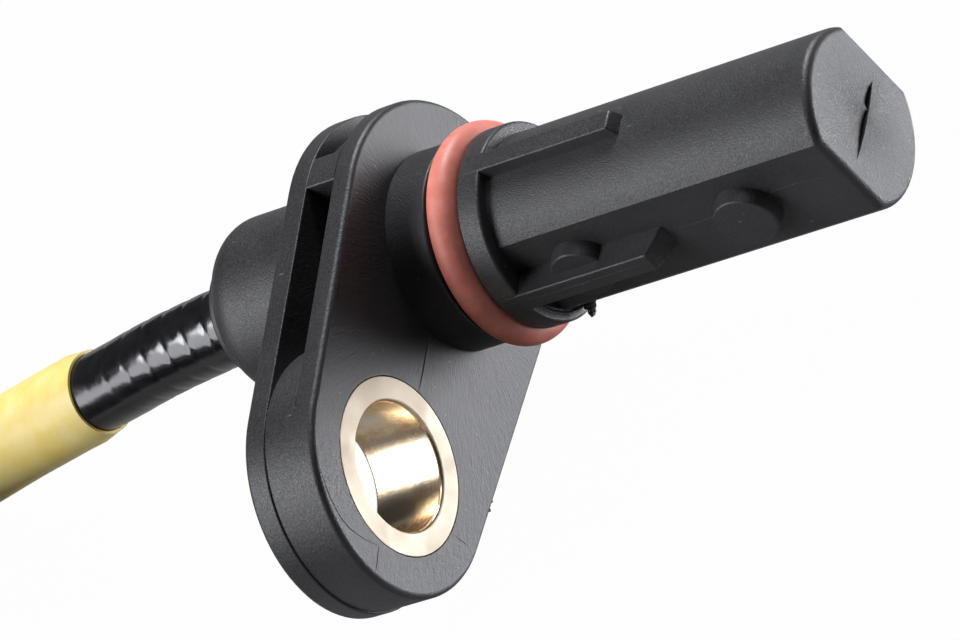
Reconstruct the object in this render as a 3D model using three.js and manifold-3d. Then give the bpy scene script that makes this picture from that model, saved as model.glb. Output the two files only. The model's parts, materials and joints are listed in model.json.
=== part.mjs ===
// A wheel speed sensor with its lead, lying on its side on a flat surface.
//
// Lengths are in millimetres. In the sensor's own frame X runs along the nose and leaves the
// flange's front face at X = 0, the bolt ear points along -Y, and Z is up. The last group moves
// that frame so that the origin is on the surface, under the middle of the sensor.

import * as THREE from "three";
import { mergeVertices } from "three/addons/utils/BufferGeometryUtils.js";
import Module from "manifold-3d";

const wasm = await Module();
wasm.setup();

// Clearances
const CLEARANCE = 0.3; // between separate pieces inside the moulding
const INSERT_GAP = 0.1; // round the moulded-in bushing
const REACH = 5; // how far a cutting tool runs past what it cuts

// Nose
const NOSE_RADIUS = 5.8;
const NOSE_TIP_X = 32.4;
const NOSE_FLAT = 4.7; // from the axis to each of the two flats
const NOSE_EDGE = 0.9; // rounding of the tip
const TIP_WALL = 1.2;
const FLAT_WALL = 1.8;
const ROUND_WALL = 1.1;

// Seal seat
const COLLAR_RADIUS = 6.65;
const COLLAR_LENGTH = 3.1;
const GROOVE_LENGTH = 2.6;
const DISC_RADIUS = 6.6;
const DISC_THICKNESS = 1.75;
const SEAL_WIRE = 2.3;
const SEAL_RADIUS = 7.4; // to the outside of the ring

// Guide ribs and support pads on the nose
const RIB_WIDTH = 1.5;
const RIB_DRAFT = 0.2;
const RIB_TOP_X = 17.5;
const RIB_BEVEL = 1.2;
const PAD_RADIUS = 2.05;
const PAD_DRAFT = 0.15;
const PAD_PLACES = [11.9, 24.6];

// Flange
const FLANGE_THICKNESS = 5.5;
const FLANGE_ROUND_RADIUS = 10.1; // round the nose axis
const EAR_RADIUS = 8.6; // round the bolt
const BOLT_OFFSET = 17.15;
const FLANGE_EDGE = 0.4;
const FRONT_PLATE = 1.55;
const BACK_PLATE = 1.7;
const POCKET_TOP_Y = -1;
const POCKET_WEB = 1.6; // left between the two side pockets
const CORE_RADIUS = 6.9; // solid round the nose axis between the plates
const CROWN_Y = 1.45; // where the recess over the top starts
const CROWN_DEPTH = 1.1;
const BAND_DEPTH = 0.18; // by which the back plate stands out round the ear

// Bolt bushing
const BUSHING_RADIUS = 5.8;
const BUSHING_BORE = 4.2;
const BUSHING_CHAMFER = 0.3;

// Rear boss
const BOSS_RADIUS = 6.1;
const BOSS_LENGTH = 10.9;
const BOSS_EDGE = 2.5;
const LIP_RADIUS = 4.1;
const LIP_LENGTH = 0.7;

// Sensing element and wiring inside the moulding
const CHIP_THICKNESS = 1.5;
const CHIP_WIDTH = 4.4;
const CHIP_HEIGHT = 3.6;
const MAGNET_LENGTH = 3.5;
const MAGNET_WIDTH = 4;
const MAGNET_HEIGHT = 3;
const CARRIER_REAR_X = 8.3;
const STRIP_SPACING = 2.7; // between the two terminals' middles
const STRIP_WIDTH = 1;
const STRIP_THICKNESS = 0.35;
const STRIP_DROP = 1.6; // of the terminals below the axis, towards the bolt
const CRIMP_OFFSET = 1; // behind the carrier's rear
const CRIMP_LENGTH = 4;
const CRIMP_RADIUS = 1;
const CRIMP_WALL = 0.25;
const CAPACITOR_X = 15.8;
const CAPACITOR_LENGTH = 1.6;
const CAPACITOR_THICKNESS = 0.5;
const WIRE_RADIUS = 0.85;
const CONDUCTOR_RADIUS = 0.5;
const JACKET_DEPTH = 9.3; // of the cable's jacket in the rear boss

// Cable, sleeve and coil
const CABLE_RADIUS = 2.7;
const SLEEVE_RADIUS = 3.2;
const SLEEVE_WALL = 0.3;
const SLEEVE_FROM_SHARE = 0.4945; // of the laid stretch's length
const SLEEVE_TO_SHARE = 0.915;
const COIL_X = -72;
const COIL_TURN_RADIUS = 27.2; // to the middle of the turns
const COIL_PITCH = 5.5; // from one turn to the next
const TIE_WIDTH = 2.5;
const TIE_THICKNESS = 0.6;
const TIE_HEAD = 3.6;
const TIE_ANGLE = 150;

// Connector on the end of the lead
const PLUG_WIDTH = 17;
const PLUG_HEIGHT = 14;
const PLUG_LENGTH = 25;
const PLUG_WALL = 1.7;
const PLUG_ROUND = 3;
const PLUG_START = 28; // along X from the coil's middle
const SOCKET_DEPTH = 13;
const CAP_LENGTH = 7;
const CAP_WIDTH = 14;
const CAP_HEIGHT = 11;
const CAP_GRIP = 3.2; // length of jacket that the cap holds
const PIN_SPACING = 4.8;
const PIN_WIDTH = 1.5;
const PIN_THICKNESS = 0.8;
const PIN_REACH = 10; // of a pin into the socket
const SEAL_PLUG_RADIUS = 1.8;
const SEAL_PLUG_LENGTH = 2.5;
const LOCK_LENGTH = 1.4;
const LOCK_WIDTH = 9.4;
const RAMP_WIDTH = 4;
const RAMP_LENGTH = 3;
const RAMP_HEIGHT = 1.2;

// The cable from the sensor to the coil: X, Y and Z of each point
const CABLE_POINTS = [
  [-7.8, 0, 0],
  [-11, 0, 0],
  [-14, 0, 0],
  [-17, 0, -0.05],
  [-19.5, 0, -0.3],
  [-22, 0, -0.6],
  [-24.5, 0, -0.93],
  [-27, 0, -1.35],
  [-29.5, 0, -1.85],
  [-32, 0, -2.3],
  [-35, 0, -2.8],
  [-38, 0, -3.4],
  [-41, 0, -4],
  [-44, 0, -4.7],
  [-47, 0, -5.4],
  [-50, 0, -6.1],
  [-53, 0, -6.5],
];

// The end of the lead past the coil: X from the coil's middle, and the share of the drop
const TAIL_POINTS = [
  [19.2, 0.47],
  [22, 0.68],
  [25, 0.86],
  [28, 0.97],
];

// Smoothness of round shapes
const ROUND_STEPS = 64;
const SMALL_ROUND_STEPS = 24;
const EDGE_STEPS = 4;
const CABLE_SIDES = 12;
const SLEEVE_STEPS = 8;
const SAME_POINT = 1e-4; // corners nearer than this are one

// Sizes that follow from the ones above
const GROOVE_X = COLLAR_LENGTH;
const DISC_X = GROOVE_X + GROOVE_LENGTH;
const DISC_FRONT_X = DISC_X + DISC_THICKNESS;
const GROOVE_RADIUS = SEAL_RADIUS - SEAL_WIRE - CLEARANCE;
const BOSS_END_X = -FLANGE_THICKNESS - BOSS_LENGTH;
const LIP_END_X = BOSS_END_X - LIP_LENGTH;
const SURFACE_Z = -FLANGE_ROUND_RADIUS;
const CABLE_BORE = CABLE_RADIUS + CLEARANCE;
const CHAMBER_HALF_Y = NOSE_FLAT - FLAT_WALL;
const CHAMBER_HALF_Z = Math.sqrt((NOSE_RADIUS - ROUND_WALL) ** 2 - CHAMBER_HALF_Y ** 2);
const CHAMBER_END_X = NOSE_TIP_X - TIP_WALL;
const CHIP_FRONT_X = CHAMBER_END_X - CLEARANCE;
const CHIP_REAR_X = CHIP_FRONT_X - CHIP_THICKNESS;
const MAGNET_FRONT_X = CHIP_REAR_X - CLEARANCE;
const MAGNET_REAR_X = MAGNET_FRONT_X - MAGNET_LENGTH;
const CARRIER_FRONT_X = MAGNET_FRONT_X - CLEARANCE;
const STRIP_TOP_Y = -STRIP_DROP + STRIP_THICKNESS / 2;
const STRIP_BOTTOM_Y = -STRIP_DROP - STRIP_THICKNESS / 2;
const STRIP_FRONT_X = MAGNET_REAR_X - 2 * CLEARANCE;
const CRIMP_FRONT_X = CARRIER_REAR_X - CRIMP_OFFSET;
const CRIMP_REAR_X = CRIMP_FRONT_X - CRIMP_LENGTH;
const CRIMP_Y = STRIP_BOTTOM_Y + CRIMP_RADIUS;
const JACKET_END_X = LIP_END_X + JACKET_DEPTH;

// Coil: two turns side by side and two layers, with the tie's band under it
const COIL_OUTER_TURN = COIL_TURN_RADIUS + COIL_PITCH / 2;
const COIL_Y = -COIL_OUTER_TURN;
const COIL_OUTSIDE = COIL_OUTER_TURN + CABLE_RADIUS;
const COIL_INSIDE = COIL_OUTER_TURN - COIL_PITCH - CABLE_RADIUS;
const COIL_BOTTOM_Z = SURFACE_Z + TIE_THICKNESS + CLEARANCE;
const COIL_TOP_Z = COIL_BOTTOM_Z + COIL_PITCH + 2 * CABLE_RADIUS;

// Connector: its own frame starts at the cap's rear face, on the plug's axis
const PLUG_Y = COIL_Y - COIL_OUTER_TURN;
const PLUG_X = COIL_X + PLUG_START;
const PLUG_Z = SURFACE_Z + PLUG_HEIGHT / 2;
const PLUG_REAR = CAP_LENGTH + CLEARANCE;
const PLUG_FRONT = PLUG_REAR + PLUG_LENGTH;
const SOCKET_FLOOR = PLUG_FRONT - SOCKET_DEPTH;
const SEAL_PLUG_BORE = SEAL_PLUG_RADIUS + CLEARANCE;
const PLUG_CHAMBER_END = SOCKET_FLOOR - 2 * CLEARANCE - LOCK_LENGTH - PLUG_WALL;
const PIN_CRIMP_START = PLUG_REAR + SEAL_PLUG_LENGTH + 2 * CLEARANCE;
const PIN_CRIMP_END = PLUG_CHAMBER_END - CLEARANCE;
const LOCK_START = PLUG_CHAMBER_END + PLUG_WALL / 2 + CLEARANCE;

// Materials, one for each finish
const FINISHES = {
  moulding: { color: 0x3a3a3c, roughness: 0.55, metalness: 0 },
  bushing: { color: 0xd8b98c, roughness: 0.25, metalness: 1 },
  seal: { color: 0xb5503e, roughness: 0.5, metalness: 0 },
  carrier: { color: 0x55585c, roughness: 0.6, metalness: 0 },
  chip: { color: 0x18191b, roughness: 0.4, metalness: 0 },
  magnet: { color: 0x8a8c90, roughness: 0.4, metalness: 1 },
  terminal: { color: 0xc9c4b4, roughness: 0.3, metalness: 1 },
  capacitor: { color: 0x9a7a52, roughness: 0.5, metalness: 0 },
  wire: { color: 0x8c5a34, roughness: 0.5, metalness: 0 },
  jacket: { color: 0x131315, roughness: 0.25, metalness: 0 },
  sleeve: { color: 0xe0c860, roughness: 0.5, metalness: 0 },
  tie: { color: 0x202022, roughness: 0.5, metalness: 0 },
  plug: { color: 0x2b2c2e, roughness: 0.5, metalness: 0 },
  lock: { color: 0xc8c8c4, roughness: 0.5, metalness: 0 },
  wireSeal: { color: 0x5d8f6a, roughness: 0.6, metalness: 0 },
};

// Solids

// A closed solid from a geometry, with its seams merged and its flat triangles left out.
function solidOf(geometry) {
  const bare = new THREE.BufferGeometry();
  bare.setAttribute("position", geometry.getAttribute("position"));
  if (geometry.index) bare.setIndex(geometry.index);
  const merged = mergeVertices(bare, SAME_POINT);
  const corners = [];
  for (let i = 0; i < merged.index.count; i += 3) {
    const a = merged.index.getX(i);
    const b = merged.index.getX(i + 1);
    const c = merged.index.getX(i + 2);
    if (a !== b && b !== c && c !== a) corners.push(a, b, c);
  }
  const vertProperties = new Float32Array(merged.getAttribute("position").array);
  const triVerts = new Uint32Array(corners);
  return new wasm.Manifold(new wasm.Mesh({ numProp: 3, vertProperties, triVerts }));
}

function union(solids) {
  return solids.reduce((all, solid) => all.add(solid));
}

function without(solid, cuts) {
  return cuts.reduce((left, cut) => left.subtract(cut), solid);
}

function geometryOf(solid) {
  const mesh = solid.getMesh();
  const geometry = new THREE.BufferGeometry();
  geometry.setAttribute("position", new THREE.BufferAttribute(mesh.vertProperties, 3));
  geometry.setIndex(new THREE.BufferAttribute(mesh.triVerts, 1));
  geometry.computeVertexNormals();
  return geometry;
}

// Points of a round stretch in a section. Angles are in degrees.
function onArc(centre, radius, angle) {
  const turn = THREE.MathUtils.degToRad(angle);
  return [centre[0] + radius * Math.cos(turn), centre[1] + radius * Math.sin(turn)];
}

function arc(centre, radius, from, to, steps) {
  const points = [];
  for (let i = 0; i <= steps; i += 1) {
    points.push(onArc(centre, radius, from + ((to - from) * i) / steps));
  }
  return points;
}

function shapeOf(points) {
  return new THREE.Shape(points.map(([a, b]) => new THREE.Vector2(a, b)));
}

// A section in Y and Z, drawn out along X, with its end edges rounded by edge.
function prismAlongX(points, fromX, toX, edge = 0) {
  const geometry = new THREE.ExtrudeGeometry(shapeOf(points), {
    depth: toX - fromX - 2 * edge,
    bevelEnabled: edge > 0,
    bevelThickness: edge,
    bevelSize: edge,
    bevelOffset: -edge,
    bevelSegments: 3,
  });
  const axes = new THREE.Matrix4().makeBasis(
    new THREE.Vector3(0, 1, 0),
    new THREE.Vector3(0, 0, 1),
    new THREE.Vector3(1, 0, 0),
  );
  geometry.applyMatrix4(axes);
  geometry.translate(fromX + edge, 0, 0);
  return solidOf(geometry);
}

// A side view in X and Y, drawn out along Z from -half to half.
function prismAcrossZ(points, half) {
  const geometry = new THREE.ExtrudeGeometry(shapeOf(points), {
    depth: 2 * half,
    bevelEnabled: false,
  });
  geometry.translate(0, 0, -half);
  return solidOf(geometry);
}

function box(low, high) {
  const size = high.map((value, i) => value - low[i]);
  const geometry = new THREE.BoxGeometry(...size);
  geometry.translate(...low.map((value, i) => value + size[i] / 2));
  return solidOf(geometry);
}

// A profile of X and radius, turned round a line along X. It starts and ends on the axis,
// or it closes on itself.
function turned(profile, steps = ROUND_STEPS, centreY = 0, centreZ = 0) {
  const points = profile.map(([x, radius]) => new THREE.Vector2(radius, x));
  const geometry = new THREE.LatheGeometry(points, steps);
  geometry.rotateZ(-Math.PI / 2);
  geometry.rotateX(Math.PI / 2);
  geometry.translate(0, centreY, centreZ);
  return solidOf(geometry);
}

function rod(fromX, toX, radius, steps, centreY, centreZ) {
  return turned([[fromX, 0], [fromX, radius], [toX, radius], [toX, 0]], steps, centreY, centreZ);
}

function tube(fromX, toX, outside, inside, steps, centreY, centreZ) {
  const wall = rod(fromX, toX, outside, steps, centreY, centreZ);
  return wall.subtract(rod(fromX - REACH, toX + REACH, inside, steps, centreY, centreZ));
}

// A rectangle in Y and Z with round corners.
function roundedRectangle(width, height, round) {
  const y = width / 2 - round;
  const z = height / 2 - round;
  return [
    ...arc([y, z], round, 0, 90, EDGE_STEPS),
    ...arc([-y, z], round, 90, 180, EDGE_STEPS),
    ...arc([-y, -z], round, 180, 270, EDGE_STEPS),
    ...arc([y, -z], round, 270, 360, EDGE_STEPS),
  ];
}

// Flange

// The outline round the nose axis and the bolt, with straight sides that touch both rounds.
function flangeOutline() {
  const lean = THREE.MathUtils.radToDeg(
    Math.asin((FLANGE_ROUND_RADIUS - EAR_RADIUS) / BOLT_OFFSET),
  );
  const side = 90 + lean;
  const quarter = ROUND_STEPS / 4;
  return [
    ...arc([0, 0], FLANGE_ROUND_RADIUS, -90, 90, 2 * quarter),
    onArc([0, 0], FLANGE_ROUND_RADIUS, side),
    ...arc([-BOLT_OFFSET, 0], EAR_RADIUS, side, 180, quarter),
    ...arc([-BOLT_OFFSET, 0], EAR_RADIUS, 180, 360 - side, quarter).slice(1),
    onArc([0, 0], FLANGE_ROUND_RADIUS, -side),
  ];
}

// The deep pocket between the plates on one side of the flange.
function sidePocket(side) {
  const nearZ = side * (POCKET_WEB / 2);
  const farZ = side * (FLANGE_ROUND_RADIUS + REACH);
  const fromX = -FLANGE_THICKNESS + BACK_PLATE;
  const toX = -FRONT_PLATE;
  const block = box(
    [fromX, -BOLT_OFFSET, Math.min(nearZ, farZ)],
    [toX, POCKET_TOP_Y, Math.max(nearZ, farZ)],
  );
  const ear = rod(fromX - REACH, toX + REACH, EAR_RADIUS - FLANGE_EDGE / 4, ROUND_STEPS, -BOLT_OFFSET);
  const core = rod(fromX - REACH, toX + REACH, CORE_RADIUS, ROUND_STEPS);
  return without(block, [ear, core]);
}

// The shallow recess between the plates over the flange's top.
function crownRecess() {
  const fromX = -FLANGE_THICKNESS + BACK_PLATE;
  const toX = -FRONT_PLATE;
  const far = FLANGE_ROUND_RADIUS + REACH;
  const block = box([fromX, CROWN_Y, -far], [toX, far, far]);
  return block.subtract(rod(fromX - REACH, toX + REACH, FLANGE_ROUND_RADIUS - CROWN_DEPTH));
}

// Takes the ear's rim back in front of the back plate, most at the ear's end.
function earBand() {
  const fromX = -FLANGE_THICKNESS + BACK_PLATE - CLEARANCE / 2;
  const far = EAR_RADIUS + REACH;
  const block = box([fromX, -BOLT_OFFSET - far, -far], [REACH, -BOLT_OFFSET, far]);
  const rim = rod(fromX - REACH, 2 * REACH, EAR_RADIUS, ROUND_STEPS, BAND_DEPTH - BOLT_OFFSET);
  return block.subtract(rim);
}

function flange() {
  const blank = prismAlongX(flangeOutline(), -FLANGE_THICKNESS, 0, FLANGE_EDGE);
  const bore = rod(
    -FLANGE_THICKNESS - REACH,
    REACH,
    BUSHING_RADIUS + INSERT_GAP,
    ROUND_STEPS,
    -BOLT_OFFSET,
  );
  return without(blank, [sidePocket(1), sidePocket(-1), crownRecess(), earBand(), bore]);
}

// Moulding on the nose axis

// Rear boss with its rounded end and lip, collar, seal groove and disc, as one turned form.
function spine() {
  const edgeCentre = [BOSS_END_X + BOSS_EDGE, BOSS_RADIUS - BOSS_EDGE];
  return turned([
    [LIP_END_X, 0],
    [LIP_END_X, LIP_RADIUS],
    [BOSS_END_X, LIP_RADIUS],
    ...arc(edgeCentre, BOSS_EDGE, 180, 90, 2 * EDGE_STEPS),
    [-FLANGE_THICKNESS / 2, BOSS_RADIUS],
    [-FLANGE_THICKNESS / 2, COLLAR_RADIUS],
    [GROOVE_X, COLLAR_RADIUS],
    [GROOVE_X, GROOVE_RADIUS],
    [DISC_X, GROOVE_RADIUS],
    [DISC_X, DISC_RADIUS],
    [DISC_FRONT_X, DISC_RADIUS],
    [DISC_FRONT_X, 0],
  ]);
}

// Round nose with two flats and a rounded tip.
function nose() {
  const startX = DISC_X + DISC_THICKNESS / 2;
  const edgeX = NOSE_TIP_X - NOSE_EDGE;
  const round = turned([
    [startX, 0],
    [startX, NOSE_RADIUS],
    ...arc([edgeX, NOSE_RADIUS - NOSE_EDGE], NOSE_EDGE, 90, 0, EDGE_STEPS),
    [NOSE_TIP_X, 0],
  ]);
  const edgeY = NOSE_FLAT - NOSE_EDGE;
  const slab = prismAcrossZ([
    [startX - REACH, -NOSE_FLAT],
    ...arc([edgeX, -edgeY], NOSE_EDGE, -90, 0, EDGE_STEPS),
    ...arc([edgeX, edgeY], NOSE_EDGE, 0, 90, EDGE_STEPS),
    [startX - REACH, NOSE_FLAT],
  ], NOSE_RADIUS + REACH);
  return round.intersect(slab);
}

// A guide rib with sloping sides and a bevelled end, as high as the disc. Angle 0 points to +Y.
function rib(angle) {
  const foot = NOSE_FLAT - CLEARANCE;
  const section = prismAlongX([
    [foot, -RIB_WIDTH / 2 - RIB_DRAFT],
    [DISC_RADIUS, -RIB_WIDTH / 2],
    [DISC_RADIUS, RIB_WIDTH / 2],
    [foot, RIB_WIDTH / 2 + RIB_DRAFT],
  ], DISC_X, RIB_TOP_X + RIB_BEVEL);
  const side = prismAcrossZ([
    [DISC_X, foot],
    [RIB_TOP_X + RIB_BEVEL, foot],
    [RIB_TOP_X, DISC_RADIUS],
    [DISC_X, DISC_RADIUS],
  ], RIB_WIDTH);
  return section.intersect(side).rotate([angle, 0, 0]);
}

// A round support pad on a flat, as high as the round of the nose.
function pad(x, side) {
  const base = NOSE_FLAT - CLEARANCE;
  const height = NOSE_RADIUS - base;
  const geometry = new THREE.CylinderGeometry(
    PAD_RADIUS,
    PAD_RADIUS + PAD_DRAFT,
    height,
    SMALL_ROUND_STEPS,
  );
  if (side < 0) geometry.rotateX(Math.PI);
  geometry.translate(x, side * (base + height / 2), 0);
  return solidOf(geometry);
}

// The room inside the moulding: the cable's bore from the rear, and the carrier's chamber.
function chamber() {
  const bore = rod(LIP_END_X - REACH, CARRIER_REAR_X, CABLE_BORE, 2 * SMALL_ROUND_STEPS);
  const room = box(
    [CARRIER_REAR_X - CLEARANCE, -CHAMBER_HALF_Y, -CHAMBER_HALF_Z],
    [CHAMBER_END_X, CHAMBER_HALF_Y, CHAMBER_HALF_Z],
  );
  return bore.add(room);
}

function housing() {
  const ribs = [0, 90, 180, 270].map(rib);
  const pads = PAD_PLACES.flatMap((x) => [pad(x, 1), pad(x, -1)]);
  return union([flange(), spine(), nose(), ...ribs, ...pads]).subtract(chamber());
}

// Metal and rubber parts on the moulding

function boltBushing() {
  const rear = -FLANGE_THICKNESS;
  const blank = tube(rear, 0, BUSHING_RADIUS, BUSHING_BORE, ROUND_STEPS, -BOLT_OFFSET);
  const wide = BUSHING_BORE + BUSHING_CHAMFER;
  const frontCone = turned([
    [-BUSHING_CHAMFER, 0],
    [-BUSHING_CHAMFER, BUSHING_BORE],
    [0, wide],
    [REACH, wide],
    [REACH, 0],
  ], ROUND_STEPS, -BOLT_OFFSET);
  const rearCone = turned([
    [rear - REACH, 0],
    [rear - REACH, wide],
    [rear, wide],
    [rear + BUSHING_CHAMFER, BUSHING_BORE],
    [rear + BUSHING_CHAMFER, 0],
  ], ROUND_STEPS, -BOLT_OFFSET);
  return without(blank, [frontCone, rearCone]);
}

function sealRing() {
  const wire = SEAL_WIRE / 2;
  const middle = [(GROOVE_X + DISC_X) / 2, SEAL_RADIUS - wire];
  return turned(arc(middle, wire, 360, 0, SMALL_ROUND_STEPS / 2), ROUND_STEPS);
}

// Sensing element

function elementCarrier() {
  const halfY = CHAMBER_HALF_Y - CLEARANCE;
  const halfZ = CHAMBER_HALF_Z - CLEARANCE;
  const rear = CARRIER_REAR_X;
  const block = box([rear, -halfY, -halfZ], [CARRIER_FRONT_X, halfY, halfZ]);
  const channels = [-1, 1].map((side) => {
    const z = (side * STRIP_SPACING) / 2;
    const half = STRIP_WIDTH / 2 + CLEARANCE;
    return box(
      [rear - REACH, -halfY - REACH, z - half],
      [CARRIER_FRONT_X + REACH, STRIP_TOP_Y + CLEARANCE, z + half],
    );
  });
  const seat = box(
    [
      CAPACITOR_X - CAPACITOR_LENGTH / 2 - CLEARANCE,
      -halfY - REACH,
      -(STRIP_SPACING + STRIP_WIDTH) / 2 - CLEARANCE,
    ],
    [
      CAPACITOR_X + CAPACITOR_LENGTH / 2 + CLEARANCE,
      STRIP_TOP_Y + CLEARANCE,
      (STRIP_SPACING + STRIP_WIDTH) / 2 + CLEARANCE,
    ],
  );
  const magnetSeat = box(
    [
      MAGNET_REAR_X - CLEARANCE,
      STRIP_TOP_Y + CLEARANCE,
      -MAGNET_WIDTH / 2 - CLEARANCE,
    ],
    [
      CARRIER_FRONT_X + REACH,
      STRIP_TOP_Y + 3 * CLEARANCE + MAGNET_HEIGHT,
      MAGNET_WIDTH / 2 + CLEARANCE,
    ],
  );
  return without(block, [...channels, seat, magnetSeat]);
}

function biasMagnet() {
  const bottom = STRIP_TOP_Y + 2 * CLEARANCE;
  return box(
    [MAGNET_REAR_X, bottom, -MAGNET_WIDTH / 2],
    [MAGNET_FRONT_X, bottom + MAGNET_HEIGHT, MAGNET_WIDTH / 2],
  );
}

// The chip stands across the nose's axis, and its two leads run back under the magnet.
function sensorChip() {
  const bottom = STRIP_TOP_Y + CLEARANCE;
  const body = box(
    [CHIP_REAR_X, bottom, -CHIP_WIDTH / 2],
    [CHIP_FRONT_X, bottom + CHIP_HEIGHT, CHIP_WIDTH / 2],
  );
  const leads = [-1, 1].flatMap((side) => {
    const z = (side * STRIP_SPACING) / 2;
    const half = (STRIP_WIDTH - CLEARANCE) / 2;
    const middle = (CHIP_REAR_X + CHIP_FRONT_X) / 2;
    const drop = box(
      [middle - STRIP_THICKNESS / 2, STRIP_BOTTOM_Y, z - half],
      [middle + STRIP_THICKNESS / 2, bottom + CLEARANCE, z + half],
    );
    const run = box(
      [STRIP_FRONT_X + CLEARANCE, STRIP_BOTTOM_Y, z - half],
      [middle, STRIP_TOP_Y, z + half],
    );
    return [drop, run];
  });
  return union([body, ...leads]);
}

// A flat terminal with a crimp barrel at its rear end.
function terminalStrip(side) {
  const z = (side * STRIP_SPACING) / 2;
  const strip = box(
    [CRIMP_REAR_X, STRIP_BOTTOM_Y, z - STRIP_WIDTH / 2],
    [STRIP_FRONT_X, STRIP_TOP_Y, z + STRIP_WIDTH / 2],
  );
  const hollow = rod(
    CRIMP_REAR_X - REACH,
    CRIMP_FRONT_X + REACH,
    CRIMP_RADIUS - CRIMP_WALL,
    SMALL_ROUND_STEPS,
    CRIMP_Y,
    z,
  );
  const barrel = rod(CRIMP_REAR_X, CRIMP_FRONT_X, CRIMP_RADIUS, SMALL_ROUND_STEPS, CRIMP_Y, z);
  const solid = union([strip, barrel]);
  const barrelOnly = hollow.intersect(box(
    [CRIMP_REAR_X - REACH, -NOSE_RADIUS, -NOSE_RADIUS],
    [CRIMP_FRONT_X + CLEARANCE, NOSE_RADIUS, NOSE_RADIUS],
  ));
  return solid.subtract(barrelOnly);
}

function filterCapacitor() {
  const top = STRIP_BOTTOM_Y - CLEARANCE / 2;
  return box(
    [
      CAPACITOR_X - CAPACITOR_LENGTH / 2,
      top - CAPACITOR_THICKNESS,
      -(STRIP_SPACING + STRIP_WIDTH) / 2,
    ],
    [CAPACITOR_X + CAPACITOR_LENGTH / 2, top, (STRIP_SPACING + STRIP_WIDTH) / 2],
  );
}

// An insulated wire, from the jacket's end to the terminal, with its bare end in the crimp.
function coreWire(side) {
  const z = (side * STRIP_SPACING) / 2;
  const insulationEnd = CRIMP_REAR_X - CLEARANCE;
  return turned([
    [JACKET_END_X + CLEARANCE, 0],
    [JACKET_END_X + CLEARANCE, WIRE_RADIUS],
    [insulationEnd, WIRE_RADIUS],
    [insulationEnd, CONDUCTOR_RADIUS],
    [CRIMP_FRONT_X - CLEARANCE, CONDUCTOR_RADIUS],
    [CRIMP_FRONT_X - CLEARANCE, 0],
  ], SMALL_ROUND_STEPS, CRIMP_Y, z);
}

// Lead

function circleShape(radius, hole = 0) {
  const shape = shapeOf(arc([0, 0], radius, 0, 360, CABLE_SIDES).slice(0, -1));
  if (hole > 0) {
    shape.holes.push(
      new THREE.Path(
        arc([0, 0], hole, 0, 360, CABLE_SIDES).slice(0, -1).map(([a, b]) => new THREE.Vector2(a, b)),
      ),
    );
  }
  return shape;
}

function tubeAlong(points, radius, hole, stepLength) {
  const path = new THREE.CatmullRomCurve3(points);
  const steps = Math.max(1, Math.round(path.getLength() / stepLength));
  return solidOf(
    new THREE.ExtrudeGeometry(circleShape(radius, hole), { steps, extrudePath: path }),
  );
}

function cablePath() {
  return new THREE.CatmullRomCurve3(CABLE_POINTS.map((point) => new THREE.Vector3(...point)));
}

function cable() {
  return tubeAlong(cablePath().points, CABLE_RADIUS, 0, 2 * CABLE_RADIUS);
}

function cableSleeve() {
  const path = cablePath();
  const points = [];
  for (let i = 0; i <= SLEEVE_STEPS; i += 1) {
    const share = SLEEVE_FROM_SHARE + ((SLEEVE_TO_SHARE - SLEEVE_FROM_SHARE) * i) / SLEEVE_STEPS;
    points.push(path.getPointAt(share));
  }
  return tubeAlong(points, SLEEVE_RADIUS, SLEEVE_RADIUS - SLEEVE_WALL, CABLE_RADIUS);
}

// The outer shape of the whole coil.
function cableCoil() {
  const r = CABLE_RADIUS;
  const profile = [
    ...arc([COIL_OUTSIDE - r, COIL_BOTTOM_Z + r], r, -90, 0, EDGE_STEPS),
    ...arc([COIL_OUTSIDE - r, COIL_TOP_Z - r], r, 0, 90, EDGE_STEPS),
    ...arc([COIL_INSIDE + r, COIL_TOP_Z - r], r, 90, 180, EDGE_STEPS),
    ...arc([COIL_INSIDE + r, COIL_BOTTOM_Z + r], r, 180, 270, EDGE_STEPS),
  ];
  profile.push(profile[0]);
  const points = profile.map(([radius, z]) => new THREE.Vector2(radius, z));
  const geometry = new THREE.LatheGeometry(points, 2 * SMALL_ROUND_STEPS);
  geometry.rotateX(Math.PI / 2);
  geometry.translate(COIL_X, COIL_Y, 0);
  return solidOf(geometry);
}

// The end of the lead, from the coil's top layer down into the connector's cap.
function cableTail() {
  const topLayer = COIL_BOTTOM_Z + CABLE_RADIUS + COIL_PITCH;
  const drop = topLayer - PLUG_Z;
  const points = TAIL_POINTS.map(
    ([x, share]) => new THREE.Vector3(COIL_X + x, PLUG_Y, topLayer - share * drop),
  );
  points.push(new THREE.Vector3(PLUG_X + CAP_GRIP, PLUG_Y, PLUG_Z));
  return tubeAlong(points, CABLE_RADIUS, 0, 2 * CABLE_RADIUS);
}

// A strap round the coil, drawn tight in its head on the outside.
function cableTie() {
  const inside = 2 * CLEARANCE + COIL_OUTSIDE - COIL_INSIDE;
  const tall = 2 * CLEARANCE + COIL_TOP_Z - COIL_BOTTOM_Z;
  const middle = (COIL_OUTSIDE + COIL_INSIDE) / 2;
  const round = CABLE_RADIUS;
  const outer = roundedRectangle(inside + 2 * TIE_THICKNESS, tall + 2 * TIE_THICKNESS, round);
  const inner = roundedRectangle(inside, tall, round - TIE_THICKNESS);
  const half = TIE_WIDTH / 2;
  const band = prismAlongX(outer, -half, half).subtract(prismAlongX(inner, -REACH, REACH));
  const head = box(
    [-TIE_HEAD / 2, inside / 2, -TIE_HEAD / 2],
    [TIE_HEAD / 2, inside / 2 + TIE_HEAD - TIE_THICKNESS, TIE_HEAD / 2],
  );
  return band
    .add(head)
    .translate([0, middle, (COIL_TOP_Z + COIL_BOTTOM_Z) / 2])
    .rotate([0, 0, TIE_ANGLE - 90])
    .translate([COIL_X, COIL_Y, 0]);
}

// Connector, in its own frame

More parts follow.
